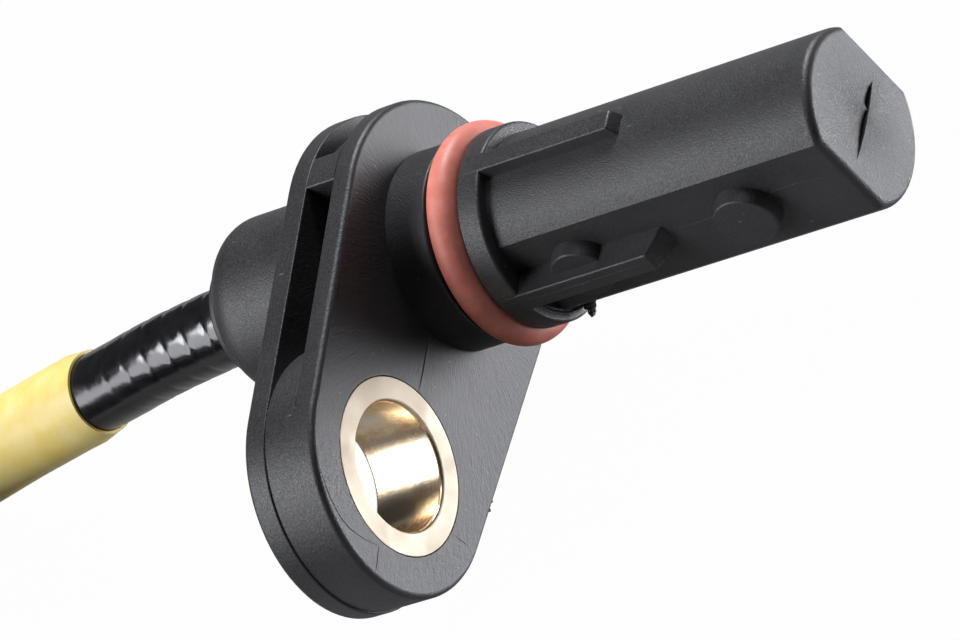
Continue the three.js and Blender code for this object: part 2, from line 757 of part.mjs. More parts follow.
function connectorCap() {
  const body = prismAlongX(
    roundedRectangle(CAP_WIDTH, CAP_HEIGHT, PLUG_ROUND),
    0,
    CAP_LENGTH,
    FLANGE_EDGE,
  );
  const roomWidth = PIN_SPACING + 2 * (WIRE_RADIUS + 2 * CLEARANCE);
  const bore = rod(-REACH, CAP_GRIP + CLEARANCE, CABLE_BORE, SMALL_ROUND_STEPS);
  const room = prismAlongX(
    roundedRectangle(roomWidth, 2 * CABLE_BORE, PLUG_ROUND / 2),
    CAP_GRIP,
    CAP_LENGTH + REACH,
  );
  return without(body, [bore, room]);
}

function latchRamp() {
  const top = PLUG_HEIGHT / 2;
  const startX = PLUG_FRONT - SOCKET_DEPTH / 2;
  const side = prismAcrossZ([
    [startX, top - PLUG_WALL / 2],
    [startX + RAMP_LENGTH, top - PLUG_WALL / 2],
    [startX + RAMP_LENGTH, top],
    [startX, top + RAMP_HEIGHT],
  ], RAMP_WIDTH / 2);
  return side.rotate([90, 0, 0]);
}

function connectorHousing() {
  const body = prismAlongX(
    roundedRectangle(PLUG_WIDTH, PLUG_HEIGHT, PLUG_ROUND),
    PLUG_REAR,
    PLUG_FRONT,
    FLANGE_EDGE,
  );
  const socket = prismAlongX(
    roundedRectangle(
      PLUG_WIDTH - 2 * PLUG_WALL,
      PLUG_HEIGHT - 2 * PLUG_WALL,
      PLUG_ROUND - PLUG_WALL,
    ),
    SOCKET_FLOOR,
    PLUG_FRONT + REACH,
  );
  const ways = [-1, 1].flatMap((side) => {
    const y = (side * PIN_SPACING) / 2;
    const halfY = PIN_WIDTH / 2 + CLEARANCE;
    const halfZ = PIN_THICKNESS / 2 + CLEARANCE;
    return [
      rod(PLUG_REAR - REACH, PLUG_CHAMBER_END, SEAL_PLUG_BORE, SMALL_ROUND_STEPS, y),
      box([PLUG_REAR, y - halfY, -halfZ], [SOCKET_FLOOR + REACH, y + halfY, halfZ]),
    ];
  });
  const lockSlot = box(
    [LOCK_START - CLEARANCE, -LOCK_WIDTH / 2 - CLEARANCE, PIN_THICKNESS / 2 + CLEARANCE],
    [LOCK_START + LOCK_LENGTH + CLEARANCE, LOCK_WIDTH / 2 + CLEARANCE, PLUG_HEIGHT + REACH],
  );
  return without(body.add(latchRamp()), [socket, ...ways, lockSlot]);
}

function terminalLock() {
  return box(
    [LOCK_START, -LOCK_WIDTH / 2, PIN_THICKNESS / 2 + 2 * CLEARANCE],
    [LOCK_START + LOCK_LENGTH, LOCK_WIDTH / 2, PLUG_HEIGHT / 2],
  );
}

function contactPin(side) {
  const y = (side * PIN_SPACING) / 2;
  const bladeStart = PIN_CRIMP_END - PIN_THICKNESS;
  const barrel = tube(
    PIN_CRIMP_START,
    PIN_CRIMP_END,
    CRIMP_RADIUS,
    CRIMP_RADIUS - CRIMP_WALL,
    SMALL_ROUND_STEPS,
    y,
  );
  const plug = rod(bladeStart, PIN_CRIMP_END, CRIMP_RADIUS, SMALL_ROUND_STEPS, y);
  const blade = box(
    [bladeStart, y - PIN_WIDTH / 2, -PIN_THICKNESS / 2],
    [SOCKET_FLOOR + PIN_REACH, y + PIN_WIDTH / 2, PIN_THICKNESS / 2],
  );
  return union([barrel, plug, blade]);
}

function wireSeal(side) {
  const start = PLUG_REAR + CLEARANCE;
  return tube(
    start,
    start + SEAL_PLUG_LENGTH,
    SEAL_PLUG_RADIUS,
    WIRE_RADIUS + CLEARANCE / 2,
    SMALL_ROUND_STEPS,
    (side * PIN_SPACING) / 2,
  );
}

// A wire from the jacket's end, out to its own way and into the pin's crimp.
function plugWire(side) {
  const y = (side * PIN_SPACING) / 2;
  const nearY = side * (WIRE_RADIUS + CLEARANCE);
  const startX = CAP_GRIP + CLEARANCE;
  const endX = PIN_CRIMP_START - CLEARANCE;
  const straightX = PLUG_REAR - CLEARANCE / 2;
  const points = [
    [startX, nearY],
    [startX + CLEARANCE, nearY],
    [(startX + straightX) / 2, (nearY + y) / 2],
    [straightX, y],
    [(straightX + endX) / 2, y],
    [endX, y],
  ].map(([x, across]) => new THREE.Vector3(x, across, 0));
  const insulated = tubeAlong(points, WIRE_RADIUS, 0, WIRE_RADIUS);
  const bare = rod(
    endX - CLEARANCE,
    PIN_CRIMP_END - PIN_THICKNESS - CLEARANCE,
    CONDUCTOR_RADIUS,
    CABLE_SIDES,
    y,
  );
  return insulated.add(bare);
}

// Assembly

function piece(name, solid, finish) {
  const mesh = new THREE.Mesh(geometryOf(solid), new THREE.MeshStandardMaterial(FINISHES[finish]));
  mesh.name = name;
  return mesh;
}

function assembly() {
  const sensor = new THREE.Group();
  sensor.add(
    piece("housing", housing(), "moulding"),
    piece("bolt_bushing", boltBushing(), "bushing"),
    piece("seal_ring", sealRing(), "seal"),
    piece("element_carrier", elementCarrier(), "carrier"),
    piece("sensor_chip", sensorChip(), "chip"),
    piece("bias_magnet", biasMagnet(), "magnet"),
    piece("filter_capacitor", filterCapacitor(), "capacitor"),
  );
  const lead = new THREE.Group();
  lead.add(
    piece("cable", cable(), "jacket"),
    piece("cable_sleeve", cableSleeve(), "sleeve"),
    piece("cable_coil", cableCoil(), "jacket"),
    piece("cable_tail", cableTail(), "jacket"),
    piece("cable_tie", cableTie(), "tie"),
  );
  const connector = new THREE.Group();
  connector.add(
    piece("connector_cap", connectorCap(), "plug"),
    piece("connector_housing", connectorHousing(), "plug"),
    piece("terminal_lock", terminalLock(), "lock"),
  );
  for (const [hand, side] of [["left", 1], ["right", -1]]) {
    sensor.add(
      piece(`terminal_strip_${hand}`, terminalStrip(side), "terminal"),
      piece(`core_wire_${hand}`, coreWire(side), "wire"),
    );
    connector.add(
      piece(`contact_pin_${hand}`, contactPin(side), "terminal"),
      piece(`wire_seal_${hand}`, wireSeal(side), "wireSeal"),
      piece(`plug_wire_${hand}`, plugWire(side), "wire"),
    );
  }
  connector.position.set(PLUG_X, PLUG_Y, PLUG_Z);
  const whole = new THREE.Group();
  whole.add(sensor, lead, connector);
  whole.position.set(
    -(NOSE_TIP_X + LIP_END_X) / 2,
    (BOLT_OFFSET + EAR_RADIUS - FLANGE_ROUND_RADIUS) / 2,
    -SURFACE_Z,
  );
  return whole;
}

const part = new THREE.Group();
part.add(assembly());

export default part;
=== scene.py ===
import json
import math
import random

import bmesh
import bpy
from mathutils import Matrix, Vector


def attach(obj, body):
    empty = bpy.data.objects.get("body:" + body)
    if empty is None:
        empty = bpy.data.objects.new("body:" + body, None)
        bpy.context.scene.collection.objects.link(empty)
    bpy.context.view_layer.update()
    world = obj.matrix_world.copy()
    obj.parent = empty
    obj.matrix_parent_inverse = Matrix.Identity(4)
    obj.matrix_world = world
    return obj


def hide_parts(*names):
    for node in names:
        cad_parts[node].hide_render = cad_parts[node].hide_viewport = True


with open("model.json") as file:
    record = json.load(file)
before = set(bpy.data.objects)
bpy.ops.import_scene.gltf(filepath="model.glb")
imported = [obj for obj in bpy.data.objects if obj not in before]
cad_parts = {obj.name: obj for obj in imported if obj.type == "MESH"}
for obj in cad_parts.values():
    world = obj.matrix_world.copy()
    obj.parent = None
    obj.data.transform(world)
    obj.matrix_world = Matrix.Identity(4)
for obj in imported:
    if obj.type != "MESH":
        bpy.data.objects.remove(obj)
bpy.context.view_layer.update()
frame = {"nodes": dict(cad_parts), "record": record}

# A wheel speed sensor on its side, with its lead put away as a tied coil.
# Sizes are in millimetres in the sensor's own frame: X runs along the nose from the flange's
# front face, the bolt ear points along -Y and Z is up.
MM = 0.001
MOUNTS = {mount["name"]: Vector(mount["pos_m"]) / MM for mount in frame["record"]["mounts"]}
ORIGIN = Vector((MOUNTS["flange_face"].x, MOUNTS["sensing_face"].y, MOUNTS["sensing_face"].z))
TO_ROW = Matrix.Scale(MM, 4) @ Matrix.Translation(ORIGIN)

# Nose and seal seat
NOSE_TIP_X = MOUNTS["sensing_face"].x - ORIGIN.x
NOSE_RADIUS = 5.8
NOSE_FLAT = 4.7
NOSE_EDGE = 0.55
COLLAR_RADIUS = 6.65
COLLAR_LENGTH = 3.1
GROOVE_RADIUS = 4.8
GROOVE_EDGE = 0.15
GROOVE_FILLET = 0.3
DISC_X = 5.7
DISC_FRONT_X = 7.45
DISC_RADIUS = 6.6
DISC_EDGE = 0.22
NOSE_START_X = DISC_X + 1
SEAL_WIRE = 2.14
SEAL_SHIFT = 0.08
SEAL_RADIUS = 7.4

# Scoop in the tip. Its rows are places along it, each with its depth.
SCOOP_Z = -0.16
SCOOP_WIDTH = 0.75
SCOOP_BEND = 0.24
SCOOP_MIDDLE_Y = -0.2
SCOOP_REACH = 3.2
SCOOP_ROWS = (
    (2.95, 0), (2.4, 0.22), (1.5, 0.34), (1.1, 0.28), (0.85, 0.1), (0.55, 0.27), (-0.3, 0.34),
    (-1.2, 0.28), (-2.3, 0.13), (-3.3, 0),
)

# Guide ribs and pads, which start a little inside the disc and the flats
RIB_TURNS = {"rear": 0, "upper": 90, "bolt_side": 180, "lower": 270}
RIB_START_X = DISC_X + 0.5
ROOT_DEPTH = 0.3
ROOT_CLEARANCE = 0.1
RIB_EDGE = 0.13
RIB_WIDTH = 1.5
RIB_DRAFT = 0.2
RIB_TOP_X = 17.5
RIB_BEVEL = 1.2
PAD_RADIUS = 2.05
PAD_DRAFT = 0.15
PAD_PLACES = {"near": 11.9, "far": 24.6}
PAD_SIDES = {"bolt_side": -1, "rear": 1}

# Flange and bushing
FLANGE_THICKNESS = 5.5
FLANGE_RADIUS = 10.1
FLANGE_EDGE = 0.4
FRONT_PLATE_EDGE = 0.08
BACK_PLATE_EDGE = 0.1
MIDDLE_EDGE = 0.14
MIDDLE_REACH = 0.3
PLATE_CLEARANCE = 0.1
HOLE_EDGE = 0.06
EAR_RADIUS = 8.6
BOLT_OFFSET = 17.15
FRONT_PLATE = 1.55
BACK_PLATE = 1.7
POCKET_TOP_Y = -1.0
POCKET_LOW_Y = -16.0
POCKET_LOW_Z = 5.0
POCKET_WEB = 1.6
CORE_RADIUS = 6.9
CROWN_Y = 1.45
CROWN_DEPTH = 1.1
BAND_DEPTH = 0.14
BUSHING_RADIUS = 5.8
BORE_RADIUS = 4.2
BUSHING_GAP = 0.035
BUSHING_EDGE = 0.06
BORE_EDGE = 0.28
BORE_SEAM = 0.5

# Rear boss and lead
BOSS_RADIUS = 6.1
BOSS_END_X = -16.4
BOSS_EDGE = 2.5
LIP_RADIUS = 4.1
LIP_END_X = -17.1
LIP_EDGE = 0.22
LIP_MOUTH_EDGE = 0.15
CABLE_HOLE_RADIUS = 3.0
CABLE_RADIUS = 2.7
SLEEVE_RADIUS = 3.14
SLEEVE_MOUTH_X = -31.8
SLEEVE_END_X = -49.2
SLEEVE_WALL = 0.2

# Route of the lead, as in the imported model: X and height of its straight run, then the coil.
# A step of the coil is the place in degrees where it starts, and how many it takes. The tail's
# is in millimetres.
CABLE_POINTS = (
    (-7.8, 0), (-11, 0), (-14, 0), (-17, -0.05), (-19.5, -0.3), (-22, -0.6), (-24.5, -0.93),
    (-27, -1.35), (-29.5, -1.85), (-32, -2.3), (-35, -2.8), (-38, -3.4), (-41, -4),
    (-44, -4.7), (-47, -5.4), (-50, -6.1), (-53, -6.5), (-57, -6.5), (-62, -6.5), (-67, -6.5),
)
COIL_X = -72.0
COIL_OUTER_TURN = 29.95
COIL_INNER_TURN = 24.45
COIL_Y = -COIL_OUTER_TURN
COIL_BOTTOM = -6.5
COIL_TOP = -1.0
COIL_START = 90
COIL_KNOT = 10
COIL_KNOTS = 127
STEP_INWARDS = (390, 60)
STEP_UP = (715, 80)
STEP_OUTWARDS = (1010, 60)
TAIL_END_X = -40.8
TAIL_KNOTS = 12
TAIL_FALL = 2.1
TAIL_STEP = (8, 23.2)

# Smoothness: angles in degrees, counts of steps, and distances between the lead's rings
ARC_STEP = 4.0
ROUND_STEPS = 128
PAD_STEPS = 72
LEAD_STEPS = 40
SLEEVE_STEPS = 64
LINE_STEPS = 8
SHARP_FROM = 35
SMOOTH_TO = 32
CRUMB_SMOOTH_TO = 20
FINE_RUN_X = (-32, -15.9)
FINE_STEP = 0.16
WIDE_STEP = 1.4

# How near counts as the same point, as on the parting plane, and as on a face
SAME = 1e-5
WELD = 1e-4
ON_PARTING = 1e-3
ON_FACE = 0.01


def named(name, data):
    """A new object in the scene."""
    made = bpy.data.objects.new(name, data)
    bpy.context.scene.collection.objects.link(made)
    return made


# Camera, found together with the main sizes
CAMERA_LENS = 241.6
CAMERA_FILM_WIDTH = 36
CAMERA_RANGE = (0.01, 20)
CAMERA_PLACE = (
    (0.77847, 0.24674, 0.57715, 0.23029),
    (0.18434, 0.78908, -0.58598, -0.236575),
    (-0.60000, 0.56256, 0.56880, 0.24069),
    (0, 0, 0, 1),
)
camera = named("camera", bpy.data.cameras.new("camera"))
camera.data.lens = CAMERA_LENS
camera.data.sensor_width = CAMERA_FILM_WIDTH
camera.data.clip_start, camera.data.clip_end = CAMERA_RANGE
camera.matrix_world = Matrix(CAMERA_PLACE)
bpy.context.scene.camera = camera


# Drawing and turning

class Outline:
    """A chain of edges in one plane: X-Y for a turned profile or side view, Y-Z for a plate."""

    def __init__(self, bm, start, plane):
        self.bm = bm
        self.flat = plane == "xy"
        self.axis = (0, 0, 1) if self.flat else (1, 0, 0)
        self.first = self.last = bm.verts.new(self.place(start))
        self.at = Vector(start[:2])

    def place(self, point):
        return (point[0], point[1], 0) if self.flat else (0, point[0], point[1])

    def line(self, *points):
        for point in points:
            self.last = bmesh.ops.extrude_vert_indiv(self.bm, verts=[self.last])["verts"][0]
            self.last.co = self.place(point)
            self.at = Vector(point[:2])

    def turn(self, centre, degrees):
        steps = max(3, round(abs(degrees) / ARC_STEP))
        made = bmesh.ops.spin(
            self.bm, geom=[self.last], cent=self.place(centre), axis=self.axis, dvec=(0, 0, 0),
            angle=math.radians(degrees), steps=steps, use_merge=False, use_duplicate=False,
        )
        self.last = next(g for g in made["geom_last"] if isinstance(g, bmesh.types.BMVert))
        co = self.last.co
        self.at = Vector((co.x, co.y) if self.flat else (co.y, co.z))

    def path(self, corners):
        """Goes through the corners. One with a third number is rounded by that radius."""
        for i, corner in enumerate(corners):
            here = Vector(corner[:2])
            if len(corner) < 3:
                self.line(here)
                continue
            into = (here - self.at).normalized()
            out = (Vector(corners[i + 1][:2]) - here).normalized()
            bend = math.atan2(into.x * out.y - into.y * out.x, into.dot(out))
            self.line(here - into * corner[2] * math.tan(abs(bend) / 2))
            side = Vector((-into.y, into.x)) * math.copysign(corner[2], bend)
            self.turn(self.at + side, math.degrees(bend))

    def close(self):
        self.bm.edges.new((self.last, self.first))


def spun(bm):
    """Turns a profile once round the nose's axis."""
    bmesh.ops.spin(
        bm, geom=bm.verts[:] + bm.edges[:], cent=(0, 0, 0), axis=(1, 0, 0), dvec=(0, 0, 0),
        angle=2 * math.pi, steps=ROUND_STEPS, use_merge=True, use_duplicate=False,
    )
    return bm


def turned(corners, ring=False, y=0.0):
    """A profile of X and radius, turned round a line along X."""
    bm = bmesh.new()
    outline = Outline(bm, corners[0], "xy")
    outline.path(corners[1:])
    if ring:
        outline.close()
    spun(bm)
    bmesh.ops.remove_doubles(bm, verts=bm.verts[:], dist=WELD)
    bmesh.ops.translate(bm, verts=bm.verts[:], vec=(0, y, 0))
    return bm


def pressed(bm, low_x, high_x):
    """Makes a plate of a closed Y-Z outline, from low_x to high_x."""
    face = bmesh.ops.edgeloop_fill(bm, edges=bm.edges[:])["faces"]
    bmesh.ops.translate(bm, verts=bm.verts[:], vec=(low_x, 0, 0))
    made = bmesh.ops.extrude_face_region(bm, geom=face)["geom"]
    moved = [g for g in made if isinstance(g, bmesh.types.BMVert)]
    bmesh.ops.translate(bm, verts=moved, vec=(high_x - low_x, 0, 0))
    return bm


def mirrored(bm):
    """Doubles a half that was drawn above the parting plane."""
    for v in bm.verts:
        if abs(v.co.z) < ON_PARTING:
            v.co.z = 0
    inner = [f for f in bm.faces if all(v.co.z == 0 for v in f.verts)]
    bmesh.ops.delete(bm, geom=inner, context="FACES")
    bmesh.ops.mirror(
        bm, geom=bm.verts[:] + bm.edges[:] + bm.faces[:], matrix=Matrix.Identity(4),
        merge_dist=SAME, axis="Z",
    )
    bmesh.ops.remove_doubles(bm, verts=bm.verts[:], dist=SAME)
    bmesh.ops.recalc_face_normals(bm, faces=bm.faces[:])
    return bm


def soften(bm, width, segments, chosen):
    """Rounds the sharp edges whose middle is chosen."""
    bm.normal_update()
    edges = [
        e for e in bm.edges
        if len(e.link_faces) == 2 and e.calc_face_angle(0) > math.radians(SHARP_FROM)
        and chosen((e.verts[0].co + e.verts[1].co) / 2)
    ]
    bmesh.ops.bevel(
        bm, geom=edges, offset=width, offset_type="OFFSET", segments=segments, profile=0.5,
        affect="EDGES", clamp_overlap=False, material=-1,
    )
    return bm


def piece(name, bm, material, slot, *nodes, smooth_to=SMOOTH_TO):
    """Puts a finished form in the part, riding on its one body."""
    bmesh.ops.recalc_face_normals(bm, faces=bm.faces[:])
    bm.transform(TO_ROW)
    mesh = bpy.data.meshes.new(name)
    bm.to_mesh(mesh)
    bm.free()
    mesh.shade_smooth()
    mesh.set_sharp_from_angle(angle=math.radians(smooth_to))
    made = named(name, mesh)
    mesh.materials.append(material)
    even = made.modifiers.new("even_normals", "WEIGHTED_NORMAL")
    even.keep_sharp = True
    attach(made, "root")
    if nodes:
        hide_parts(*nodes)
    return made


def moulded(name, bm, smooth_to=SMOOTH_TO):
    """A piece of the housing."""
    piece(name, bm, MOULDING, "moulding", "housing", smooth_to=smooth_to)


# Materials

# The sockets of a mix node that take its share and two colours, and the one that gives the result
MIX_SHARE, MIX_FIRST, MIX_SECOND, MIX_RESULT = 0, 6, 7, 2
# Most of a noise's values are between these
NOISE = (0.3, 0.7)
# How much brighter the fibres are than the plastic
FIBRE_BRIGHTNESS = 6


class Finish:
    """A procedural material: nodes that feed one shader."""

    def __init__(self, name, roughness, metallic=0.0, specular=0.5):
        self.material = bpy.data.materials.new(name)
        self.material.use_nodes = True
        self.tree = self.material.node_tree
        self.shader = self.tree.nodes["Principled BSDF"]
        self.shader.inputs["Roughness"].default_value = roughness
        self.shader.inputs["Metallic"].default_value = metallic
        self.shader.inputs["Specular IOR Level"].default_value = specular
        self.coordinates = self.tree.nodes.new("ShaderNodeTexCoord")
        self.height = None

    def node(self, kind):
        return self.tree.nodes.new(kind)

    def link(self, source, target):
        self.tree.links.new(source, target)

    def mapped(self, scale=(1, 1, 1), centre=(0, 0, 0), turn=(0, 0, 0)):
        """The object's coordinates, scaled about a centre and turned."""
        mapping = self.node("ShaderNodeMapping")
        mapping.inputs["Scale"].default_value = scale
        mapping.inputs["Location"].default_value = [-c * s for c, s in zip(centre, scale)]
        mapping.inputs["Rotation"].default_value = turn
        self.link(self.coordinates.outputs["Object"], mapping.inputs["Vector"])
        return mapping.outputs["Vector"]

    def grain(self, size, detail=3.0, roughness=0.5, vector=None):
        """Noise with features of about size millimetres."""
        made = self.node("ShaderNodeTexNoise")
        made.inputs["Scale"].default_value = 1 / (size * MM)
        made.inputs["Detail"].default_value = detail
        made.inputs["Roughness"].default_value = roughness
        self.link(vector or self.coordinates.outputs["Object"], made.inputs["Vector"])
        return made.outputs["Fac"]

    def ramp(self, source, *stops):
        """Colours along a 0 to 1 value: (position, colour) pairs."""
        made = self.node("ShaderNodeValToRGB")
        elements = made.color_ramp.elements
        while len(elements) < len(stops):
            elements.new(0.5)
        for element, (position, colour) in zip(elements, stops):
            element.position = position
            element.color = (*colour, 1)
        self.link(source, made.inputs["Fac"])
        return made.outputs["Color"]

    def spread(self, source, low, high, to_low, to_high):
        """Stretches the values from low to high over another range."""
        made = self.node("ShaderNodeMapRange")
        for key, value in (
            ("From Min", low), ("From Max", high), ("To Min", to_low), ("To Max", to_high),
        ):
            made.inputs[key].default_value = value
        self.link(source, made.inputs["Value"])
        return made.outputs["Result"]

    def maths(self, operation, first, second):
        """Works on two numbers or on values that vary over the surface."""
        made = self.node("ShaderNodeMath")
        made.operation = operation
        for socket, value in zip(made.inputs, (first, second)):
            if isinstance(value, (int, float)):
                socket.default_value = value
            else:
                self.link(value, socket)
        return made.outputs["Value"]

    def mix(self, share, first, second):
        """Two colours, mixed by a share that varies over the surface."""
        made = self.node("ShaderNodeMix")
        made.data_type = "RGBA"
        self.link(share, made.inputs[MIX_SHARE])
        for place, value in ((MIX_FIRST, first), (MIX_SECOND, second)):
            if isinstance(value, tuple):
                made.inputs[place].default_value = (*value, 1)
            else:
                self.link(value, made.inputs[place])
        return made.outputs[MIX_RESULT]

    def colour(self, source):
        self.link(source, self.shader.inputs["Base Color"])

    def rough(self, source):
        self.link(source, self.shader.inputs["Roughness"])

    def bump(self, source, depth):
        """Adds relief that is depth millimetres high."""
        made = self.node("ShaderNodeBump")
        made.inputs["Strength"].default_value = 1.0
        made.inputs["Distance"].default_value = depth * MM
        self.link(source, made.inputs["Height"])
        if self.height is not None:
            self.link(self.height, made.inputs["Normal"])
        self.height = made.outputs["Normal"]
        self.link(self.height, self.shader.inputs["Normal"])


def about_axis(finish, round_it=0.009, along_radius=0.16):
    """Coordinates in which noise runs out from the nose's axis in streaks."""
    parts = finish.node("ShaderNodeSeparateXYZ")
    finish.link(finish.mapped(centre=(0, ORIGIN.y * MM, ORIGIN.z * MM)), parts.inputs[0])
    angle = finish.maths("ARCTAN2", parts.outputs["Y"], parts.outputs["Z"])
    across = finish.maths("POWER", parts.outputs["Y"], 2.0)
    up = finish.maths("POWER", parts.outputs["Z"], 2.0)
    radius = finish.maths("POWER", finish.maths("ADD", across, up), 0.5)
    joined = finish.node("ShaderNodeCombineXYZ")
    finish.link(finish.maths("MULTIPLY", angle, round_it), joined.inputs["X"])
    finish.link(finish.maths("MULTIPLY", radius, along_radius), joined.inputs["Y"])
    finish.link(parts.outputs["X"], joined.inputs["Z"])
    return joined.outputs[0]


def moulded_plastic(name, dark, light, roughness, streaked=True):
    """Glass-filled plastic: fine grain, flow streaks and a few pale fibres."""
    finish = Finish(name, roughness, specular=0.62)
    fine = finish.grain(0.16, 4.0, 0.6)
    cloud = finish.grain(3.5, 3.0, 0.55)
    tone = finish.maths(
        "ADD", finish.spread(fine, *NOISE, -0.22, 0.22), finish.spread(cloud, *NOISE, 0.3, 0.7),
    )
    base = finish.ramp(tone, (0.1, dark), (0.9, light))
    fibre = finish.grain(0.32, 1.0, 0.4, finish.mapped(scale=(0.35, 1, 1), turn=(0.4, 0.2, 0.5)))
    pale = tuple(FIBRE_BRIGHTNESS * c for c in light)
    finish.colour(finish.mix(finish.spread(fibre, 0.775, 0.80, 0.0, 0.45), base, pale))
    finish.rough(finish.spread(fine, *NOISE, roughness - 0.08, roughness + 0.08))
    finish.bump(fine, 0.019)
    finish.bump(finish.grain(0.5, 2.0), 0.012)
    if streaked:
        finish.bump(finish.grain(0.11, 2.0, 0.5, about_axis(finish)), 0.025)
    return finish.material


def seal_rubber():
    """Matt red rubber with a little pale dust."""
    finish = Finish("seal_rubber", 0.5)
    cloud = finish.grain(1.4, 4.0, 0.6)
    base = finish.ramp(
        cloud, (0.3, (0.70, 0.20, 0.145)), (0.55, (0.80, 0.25, 0.19)), (0.75, (0.86, 0.31, 0.24)),
    )
    dust = finish.grain(0.12, 2.0)
    finish.colour(finish.mix(finish.spread(dust, 0.68, 0.78, 0, 0.5), base, (0.88, 0.48, 0.40)))
    finish.rough(finish.spread(cloud, *NOISE, 0.44, 0.58))
    finish.bump(finish.grain(0.2, 3.0), 0.008)
    return finish.material


def bushing_metal():
    """Turned bronze: fine lines and darker stains in the bore, and matt pale end faces."""
    finish = Finish("bushing_metal", 0.2, metallic=1.0)
    centre = (0, (ORIGIN.y - BOLT_OFFSET) * MM, ORIGIN.z * MM)
    lines = finish.grain(0.1, 3.0, 0.6, finish.mapped(scale=(1, 0.03, 0.03), centre=centre))
    stain = finish.grain(2.2, 4.0, 0.65, finish.mapped(scale=(0.55, 1, 1)))
    base = finish.ramp(
        stain, (0.32, (0.56, 0.38, 0.22)), (0.48, (0.86, 0.68, 0.46)), (0.66, (0.96, 0.86, 0.70)),
    )
    parts = finish.node("ShaderNodeSeparateXYZ")
    finish.link(finish.coordinates.outputs["Normal"], parts.inputs[0])
    faced = finish.spread(finish.maths("ABSOLUTE", parts.outputs["X"], 0.0), 0.75, 0.97, 0.0, 1.0)
    finish.colour(finish.mix(faced, base, (0.59, 0.52, 0.425)))
    polish = finish.spread(stain, 0.35, 0.7, 0.3, 0.18)
    finish.rough(finish.maths("ADD", polish, finish.maths("MULTIPLY", faced, 0.38)))
    finish.bump(lines, 0.01)
    finish.bump(finish.grain(0.6, 3.0), 0.004)
    return finish.material


def jacket_rubber():
    """Glossy black rubber."""
    finish = Finish("jacket_rubber", 0.16, specular=0.9)
    cloud = finish.grain(1.2, 3.0, 0.6)
    finish.colour(finish.ramp(cloud, (0.3, (0.006, 0.006, 0.007)), (0.7, (0.013, 0.013, 0.014))))
    finish.rough(finish.spread(cloud, *NOISE, 0.12, 0.22))
    finish.bump(finish.grain(0.9, 3.0), 0.012)
    return finish.material


def sleeve_rubber():
    """Satin yellow rubber, uneven and a little dusty."""
    finish = Finish("sleeve_rubber", 0.36)
    cloud = finish.grain(2.5, 4.0, 0.6)
    fine = finish.grain(0.18, 3.0)
    base = finish.ramp(
        cloud, (0.28, (0.93, 0.69, 0.17)), (0.5, (0.96, 0.76, 0.24)), (0.75, (0.98, 0.83, 0.38)),
    )
    finish.colour(finish.mix(finish.spread(fine, 0.62, 0.8, 0, 0.35), base, (0.98, 0.88, 0.55)))
    finish.rough(finish.spread(cloud, *NOISE, 0.3, 0.44))
    finish.bump(fine, 0.01)
    finish.bump(finish.grain(1.6, 2.0), 0.03)
    return finish.material


def plain_finish(name, dark, light, roughness, metallic=0.0):
    """Fine grain in two near tones, for the connector and the pieces inside."""
    finish = Finish(name, roughness, metallic)
    fine = finish.grain(0.25, 3.0)
    finish.colour(finish.ramp(fine, (0.3, dark), (0.7, light)))
    finish.rough(finish.spread(fine, *NOISE, roughness - 0.06, roughness + 0.06))
    finish.bump(fine, 0.01)
    return finish.material


MOULDING = moulded_plastic("moulding", (0.014, 0.014, 0.015), (0.034, 0.034, 0.036), 0.48)
SEAL = seal_rubber()
BUSHING = bushing_metal()
JACKET = jacket_rubber()
SLEEVE = sleeve_rubber()
TIN = ((0.60, 0.57, 0.48), (0.72, 0.69, 0.60))
WIRE = ((0.20, 0.075, 0.028), (0.27, 0.11, 0.045))
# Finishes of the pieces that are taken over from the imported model, by how their names start
CARRIED = {
    "cable_tie": plain_finish("tie", (0.012, 0.012, 0.013), (0.02, 0.02, 0.021), 0.4),
    "connector": moulded_plastic(
        "plug", (0.020, 0.021, 0.023), (0.030, 0.031, 0.033), 0.42, streaked=False,
    ),
    "terminal_lock": plain_finish("lock", (0.52, 0.52, 0.50), (0.62, 0.62, 0.60), 0.45),
    "element_carrier": plain_finish("carrier", (0.075, 0.08, 0.09), (0.11, 0.115, 0.125), 0.5),
    "sensor_chip": plain_finish("chip", (0.009, 0.010, 0.012), (0.016, 0.017, 0.019), 0.32),
    "bias_magnet": plain_finish("magnet", (0.22, 0.225, 0.23), (0.3, 0.3, 0.31), 0.34, 1.0),
    "filter_capacitor": plain_finish("capacitor", (0.28, 0.17, 0.075), (0.38, 0.24, 0.11), 0.38),
    "terminal_strip": plain_finish("tinned_strip", *TIN, 0.28, 1.0),
    "contact_pin": plain_finish("tinned_pin", *TIN, 0.24, 1.0),
    "core_wire": plain_finish("core_wire", *WIRE, 0.4),
    "plug_wire": plain_finish("plug_wire", *WIRE, 0.4),
    "wire_seal": plain_finish("wire_seal", (0.085, 0.24, 0.13), (0.125, 0.31, 0.18), 0.5),
}


# Flange

def flange_outline(bm, ear_radius=EAR_RADIUS, ear_shift=0.0):
    """Half the flange round the nose's axis and the bolt, above the parting plane."""
    lean = math.degrees(math.asin((FLANGE_RADIUS - EAR_RADIUS) / BOLT_OFFSET))
    side = math.radians(90 + lean)
    ear_y = ear_shift - BOLT_OFFSET
    outline = Outline(bm, (FLANGE_RADIUS, 0), "yz")
    outline.turn((0, 0), 90 + lean)
    outline.line((ear_y + ear_radius * math.cos(side), ear_radius * math.sin(side)))
    outline.turn((ear_y, 0), 90 - lean)
    add_bolt_hole(outline)
    outline.close()


def add_bolt_hole(outline):
    """Goes along the parting plane and round the upper half of the bushing's hole."""
    hole = BUSHING_RADIUS + BUSHING_GAP
    outline.line((-BOLT_OFFSET - hole, 0))
    outline.turn((-BOLT_OFFSET, 0), -180)


